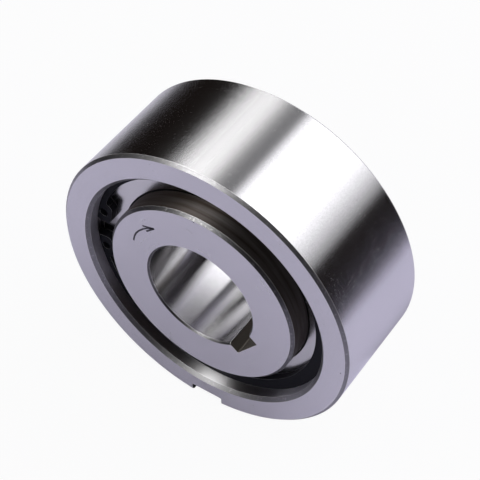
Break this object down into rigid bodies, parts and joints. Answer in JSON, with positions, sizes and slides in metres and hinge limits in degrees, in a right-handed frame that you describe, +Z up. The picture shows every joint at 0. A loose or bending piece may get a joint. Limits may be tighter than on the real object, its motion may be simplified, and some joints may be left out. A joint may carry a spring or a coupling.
{
  "type": "one-way clutch bearing",
  "caption": "Sprag-type one-way clutch: a keyed outer ring and a keyed inner ring with a closed ring of sprags between, which locks one way and runs free the other.",
  "frame": {"origin": "middle of the bore: on the axis, halfway across the width", "axes": "+Y along the axis from the front face, which has the arrow, to the rear; +Z up, away from the key slot in the outside; the clutch stands on that slot's edges"},
  "size_m": [0.11, 0.043, 0.1097],
  "materials": {
    "ring_steel": "ground bearing steel, satin faces and polished cylinders",
    "plate_steel": "satin ground steel",
    "circlip_steel": "oiled spring steel, dark",
    "spring_wire": "drawn spring wire",
    "sprag_steel": "lapped bearing steel"
  },
  "bodies": {
    "outer_ring": {"outer_ring": "ring_steel", "front_side_plate": "plate_steel", "rear_side_plate": "plate_steel", "front_circlip": "circlip_steel", "rear_circlip": "circlip_steel", "front_garter_spring": "spring_wire", "rear_garter_spring": "spring_wire"},
    "inner_ring": {"inner_ring": "ring_steel"},
    "sprag_01": {"sprag_01": "sprag_steel"},
    "sprag_02": {"sprag_02": "sprag_steel"},
    "sprag_03": {"sprag_03": "sprag_steel"},
    "sprag_04": {"sprag_04": "sprag_steel"},
    "sprag_05": {"sprag_05": "sprag_steel"},
    "sprag_06": {"sprag_06": "sprag_steel"},
    "sprag_07": {"sprag_07": "sprag_steel"},
    "sprag_08": {"sprag_08": "sprag_steel"},
    "sprag_09": {"sprag_09": "sprag_steel"},
    "sprag_10": {"sprag_10": "sprag_steel"},
    "sprag_11": {"sprag_11": "sprag_steel"},
    "sprag_12": {"sprag_12": "sprag_steel"},
    "sprag_13": {"sprag_13": "sprag_steel"},
    "sprag_14": {"sprag_14": "sprag_steel"},
    "sprag_15": {"sprag_15": "sprag_steel"},
    "sprag_16": {"sprag_16": "sprag_steel"},
    "sprag_17": {"sprag_17": "sprag_steel"},
    "sprag_18": {"sprag_18": "sprag_steel"},
    "sprag_19": {"sprag_19": "sprag_steel"},
    "sprag_20": {"sprag_20": "sprag_steel"},
    "sprag_21": {"sprag_21": "sprag_steel"},
    "sprag_22": {"sprag_22": "sprag_steel"},
    "sprag_23": {"sprag_23": "sprag_steel"},
    "sprag_24": {"sprag_24": "sprag_steel"},
    "sprag_25": {"sprag_25": "sprag_steel"},
    "sprag_26": {"sprag_26": "sprag_steel"},
    "sprag_27": {"sprag_27": "sprag_steel"},
    "sprag_28": {"sprag_28": "sprag_steel"},
    "sprag_29": {"sprag_29": "sprag_steel"},
    "sprag_30": {"sprag_30": "sprag_steel"}
  },
  "joints": [
    {"name": "inner_ring_spin", "type": "hinge", "parent": "outer_ring", "child": "inner_ring", "pos_m": [0, 0, 0], "axis": [0, 1, 0], "range_deg": [0, 450]},
    {"name": "sprag_01_tilt", "type": "hinge", "parent": "outer_ring", "child": "sprag_01", "pos_m": [0, 0, 0.03966], "axis": [0, -1, 0], "range_deg": [0, 5], "stiffness_Nm_per_rad": 0.003, "springref_deg": -20.05},
    {"name": "sprag_02_tilt", "type": "hinge", "parent": "outer_ring", "child": "sprag_02", "pos_m": [0.00825, 0, 0.0388], "axis": [0, -1, 0], "range_deg": [0, 5], "stiffness_Nm_per_rad": 0.003, "springref_deg": -20.05},
    {"name": "sprag_03_tilt", "type": "hinge", "parent": "outer_ring", "child": "sprag_03", "pos_m": [0.01613, 0, 0.03624], "axis": [0, -1, 0], "range_deg": [0, 5], "stiffness_Nm_per_rad": 0.003, "springref_deg": -20.05},
    {"name": "sprag_04_tilt", "type": "hinge", "parent": "outer_ring", "child": "sprag_04", "pos_m": [0.02331, 0, 0.03209], "axis": [0, -1, 0], "range_deg": [0, 5], "stiffness_Nm_per_rad": 0.003, "springref_deg": -20.05},
    {"name": "sprag_05_tilt", "type": "hinge", "parent": "outer_ring", "child": "sprag_05", "pos_m": [0.02948, 0, 0.02654], "axis": [0, -1, 0], "range_deg": [0, 5], "stiffness_Nm_per_rad": 0.003, "springref_deg": -20.05},
    {"name": "sprag_06_tilt", "type": "hinge", "parent": "outer_ring", "child": "sprag_06", "pos_m": [0.03435, 0, 0.01983], "axis": [0, -1, 0], "range_deg": [0, 5], "stiffness_Nm_per_rad": 0.003, "springref_deg": -20.05},
    {"name": "sprag_07_tilt", "type": "hinge", "parent": "outer_ring", "child": "sprag_07", "pos_m": [0.03772, 0, 0.01226], "axis": [0, -1, 0], "range_deg": [0, 5], "stiffness_Nm_per_rad": 0.003, "springref_deg": -20.05},
    {"name": "sprag_08_tilt", "type": "hinge", "parent": "outer_ring", "child": "sprag_08", "pos_m": [0.03945, 0, 0.00415], "axis": [0, -1, 0], "range_deg": [0, 5], "stiffness_Nm_per_rad": 0.003, "springref_deg": -20.05},
    {"name": "sprag_09_tilt", "type": "hinge", "parent": "outer_ring", "child": "sprag_09", "pos_m": [0.03945, 0, -0.00415], "axis": [0, -1, 0], "range_deg": [0, 5], "stiffness_Nm_per_rad": 0.003, "springref_deg": -20.05},
    {"name": "sprag_10_tilt", "type": "hinge", "parent": "outer_ring", "child": "sprag_10", "pos_m": [0.03772, 0, -0.01226], "axis": [0, -1, 0], "range_deg": [0, 5], "stiffness_Nm_per_rad": 0.003, "springref_deg": -20.05},
    {"name": "sprag_11_tilt", "type": "hinge", "parent": "outer_ring", "child": "sprag_11", "pos_m": [0.03435, 0, -0.01983], "axis": [0, -1, 0], "range_deg": [0, 5], "stiffness_Nm_per_rad": 0.003, "springref_deg": -20.05},
    {"name": "sprag_12_tilt", "type": "hinge", "parent": "outer_ring", "child": "sprag_12", "pos_m": [0.02948, 0, -0.02654], "axis": [0, -1, 0], "range_deg": [0, 5], "stiffness_Nm_per_rad": 0.003, "springref_deg": -20.05},
    {"name": "sprag_13_tilt", "type": "hinge", "parent": "outer_ring", "child": "sprag_13", "pos_m": [0.02331, 0, -0.03209], "axis": [0, -1, 0], "range_deg": [0, 5], "stiffness_Nm_per_rad": 0.003, "springref_deg": -20.05},
    {"name": "sprag_14_tilt", "type": "hinge", "parent": "outer_ring", "child": "sprag_14", "pos_m": [0.01613, 0, -0.03624], "axis": [0, -1, 0], "range_deg": [0, 5], "stiffness_Nm_per_rad": 0.003, "springref_deg": -20.05},
    {"name": "sprag_15_tilt", "type": "hinge", "parent": "outer_ring", "child": "sprag_15", "pos_m": [0.00825, 0, -0.0388], "axis": [0, -1, 0], "range_deg": [0, 5], "stiffness_Nm_per_rad": 0.003, "springref_deg": -20.05},
    {"name": "sprag_16_tilt", "type": "hinge", "parent": "outer_ring", "child": "sprag_16", "pos_m": [0, 0, -0.03966], "axis": [0, -1, 0], "range_deg": [0, 5], "stiffness_Nm_per_rad": 0.003, "springref_deg": -20.05},
    {"name": "sprag_17_tilt", "type": "hinge", "parent": "outer_ring", "child": "sprag_17", "pos_m": [-0.00825, 0, -0.0388], "axis": [0, -1, 0], "range_deg": [0, 5], "stiffness_Nm_per_rad": 0.003, "springref_deg": -20.05},
    {"name": "sprag_18_tilt", "type": "hinge", "parent": "outer_ring", "child": "sprag_18", "pos_m": [-0.01613, 0, -0.03624], "axis": [0, -1, 0], "range_deg": [0, 5], "stiffness_Nm_per_rad": 0.003, "springref_deg": -20.05},
    {"name": "sprag_19_tilt", "type": "hinge", "parent": "outer_ring", "child": "sprag_19", "pos_m": [-0.02331, 0, -0.03209], "axis": [0, -1, 0], "range_deg": [0, 5], "stiffness_Nm_per_rad": 0.003, "springref_deg": -20.05},
    {"name": "sprag_20_tilt", "type": "hinge", "parent": "outer_ring", "child": "sprag_20", "pos_m": [-0.02948, 0, -0.02654], "axis": [0, -1, 0], "range_deg": [0, 5], "stiffness_Nm_per_rad": 0.003, "springref_deg": -20.05},
    {"name": "sprag_21_tilt", "type": "hinge", "parent": "outer_ring", "child": "sprag_21", "pos_m": [-0.03435, 0, -0.01983], "axis": [0, -1, 0], "range_deg": [0, 5], "stiffness_Nm_per_rad": 0.003, "springref_deg": -20.05},
    {"name": "sprag_22_tilt", "type": "hinge", "parent": "outer_ring", "child": "sprag_22", "pos_m": [-0.03772, 0, -0.01226], "axis": [0, -1, 0], "range_deg": [0, 5], "stiffness_Nm_per_rad": 0.003, "springref_deg": -20.05},
    {"name": "sprag_23_tilt", "type": "hinge", "parent": "outer_ring", "child": "sprag_23", "pos_m": [-0.03945, 0, -0.00415], "axis": [0, -1, 0], "range_deg": [0, 5], "stiffness_Nm_per_rad": 0.003, "springref_deg": -20.05},
    {"name": "sprag_24_tilt", "type": "hinge", "parent": "outer_ring", "child": "sprag_24", "pos_m": [-0.03945, 0, 0.00415], "axis": [0, -1, 0], "range_deg": [0, 5], "stiffness_Nm_per_rad": 0.003, "springref_deg": -20.05},
    {"name": "sprag_25_tilt", "type": "hinge", "parent": "outer_ring", "child": "sprag_25", "pos_m": [-0.03772, 0, 0.01226], "axis": [0, -1, 0], "range_deg": [0, 5], "stiffness_Nm_per_rad": 0.003, "springref_deg": -20.05},
    {"name": "sprag_26_tilt", "type": "hinge", "parent": "outer_ring", "child": "sprag_26", "pos_m": [-0.03435, 0, 0.01983], "axis": [0, -1, 0], "range_deg": [0, 5], "stiffness_Nm_per_rad": 0.003, "springref_deg": -20.05},
    {"name": "sprag_27_tilt", "type": "hinge", "parent": "outer_ring", "child": "sprag_27", "pos_m": [-0.02948, 0, 0.02654], "axis": [0, -1, 0], "range_deg": [0, 5], "stiffness_Nm_per_rad": 0.003, "springref_deg": -20.05},
    {"name": "sprag_28_tilt", "type": "hinge", "parent": "outer_ring", "child": "sprag_28", "pos_m": [-0.02331, 0, 0.03209], "axis": [0, -1, 0], "range_deg": [0, 5], "stiffness_Nm_per_rad": 0.003, "springref_deg": -20.05},
    {"name": "sprag_29_tilt", "type": "hinge", "parent": "outer_ring", "child": "sprag_29", "pos_m": [-0.01613, 0, 0.03624], "axis": [0, -1, 0], "range_deg": [0, 5], "stiffness_Nm_per_rad": 0.003, "springref_deg": -20.05},
    {"name": "sprag_30_tilt", "type": "hinge", "parent": "outer_ring", "child": "sprag_30", "pos_m": [-0.00825, 0, 0.0388], "axis": [0, -1, 0], "range_deg": [0, 5], "stiffness_Nm_per_rad": 0.003, "springref_deg": -20.05}
  ],
  "couplings": [
    {"joint": "sprag_02_tilt", "follows": "sprag_01_tilt", "ratio": 1},
    {"joint": "sprag_03_tilt", "follows": "sprag_01_tilt", "ratio": 1},
    {"joint": "sprag_04_tilt", "follows": "sprag_01_tilt", "ratio": 1},
    {"joint": "sprag_05_tilt", "follows": "sprag_01_tilt", "ratio": 1},
    {"joint": "sprag_06_tilt", "follows": "sprag_01_tilt", "ratio": 1},
    {"joint": "sprag_07_tilt", "follows": "sprag_01_tilt", "ratio": 1},
    {"joint": "sprag_08_tilt", "follows": "sprag_01_tilt", "ratio": 1},
    {"joint": "sprag_09_tilt", "follows": "sprag_01_tilt", "ratio": 1},
    {"joint": "sprag_10_tilt", "follows": "sprag_01_tilt", "ratio": 1},
    {"joint": "sprag_11_tilt", "follows": "sprag_01_tilt", "ratio": 1},
    {"joint": "sprag_12_tilt", "follows": "sprag_01_tilt", "ratio": 1},
    {"joint": "sprag_13_tilt", "follows": "sprag_01_tilt", "ratio": 1},
    {"joint": "sprag_14_tilt", "follows": "sprag_01_tilt", "ratio": 1},
    {"joint": "sprag_15_tilt", "follows": "sprag_01_tilt", "ratio": 1},
    {"joint": "sprag_16_tilt", "follows": "sprag_01_tilt", "ratio": 1},
    {"joint": "sprag_17_tilt", "follows": "sprag_01_tilt", "ratio": 1},
    {"joint": "sprag_18_tilt", "follows": "sprag_01_tilt", "ratio": 1},
    {"joint": "sprag_19_tilt", "follows": "sprag_01_tilt", "ratio": 1},
    {"joint": "sprag_20_tilt", "follows": "sprag_01_tilt", "ratio": 1},
    {"joint": "sprag_21_tilt", "follows": "sprag_01_tilt", "ratio": 1},
    {"joint": "sprag_22_tilt", "follows": "sprag_01_tilt", "ratio": 1},
    {"joint": "sprag_23_tilt", "follows": "sprag_01_tilt", "ratio": 1},
    {"joint": "sprag_24_tilt", "follows": "sprag_01_tilt", "ratio": 1},
    {"joint": "sprag_25_tilt", "follows": "sprag_01_tilt", "ratio": 1},
    {"joint": "sprag_26_tilt", "follows": "sprag_01_tilt", "ratio": 1},
    {"joint": "sprag_27_tilt", "follows": "sprag_01_tilt", "ratio": 1},
    {"joint": "sprag_28_tilt", "follows": "sprag_01_tilt", "ratio": 1},
    {"joint": "sprag_29_tilt", "follows": "sprag_01_tilt", "ratio": 1},
    {"joint": "sprag_30_tilt", "follows": "sprag_01_tilt", "ratio": 1}
  ]
}
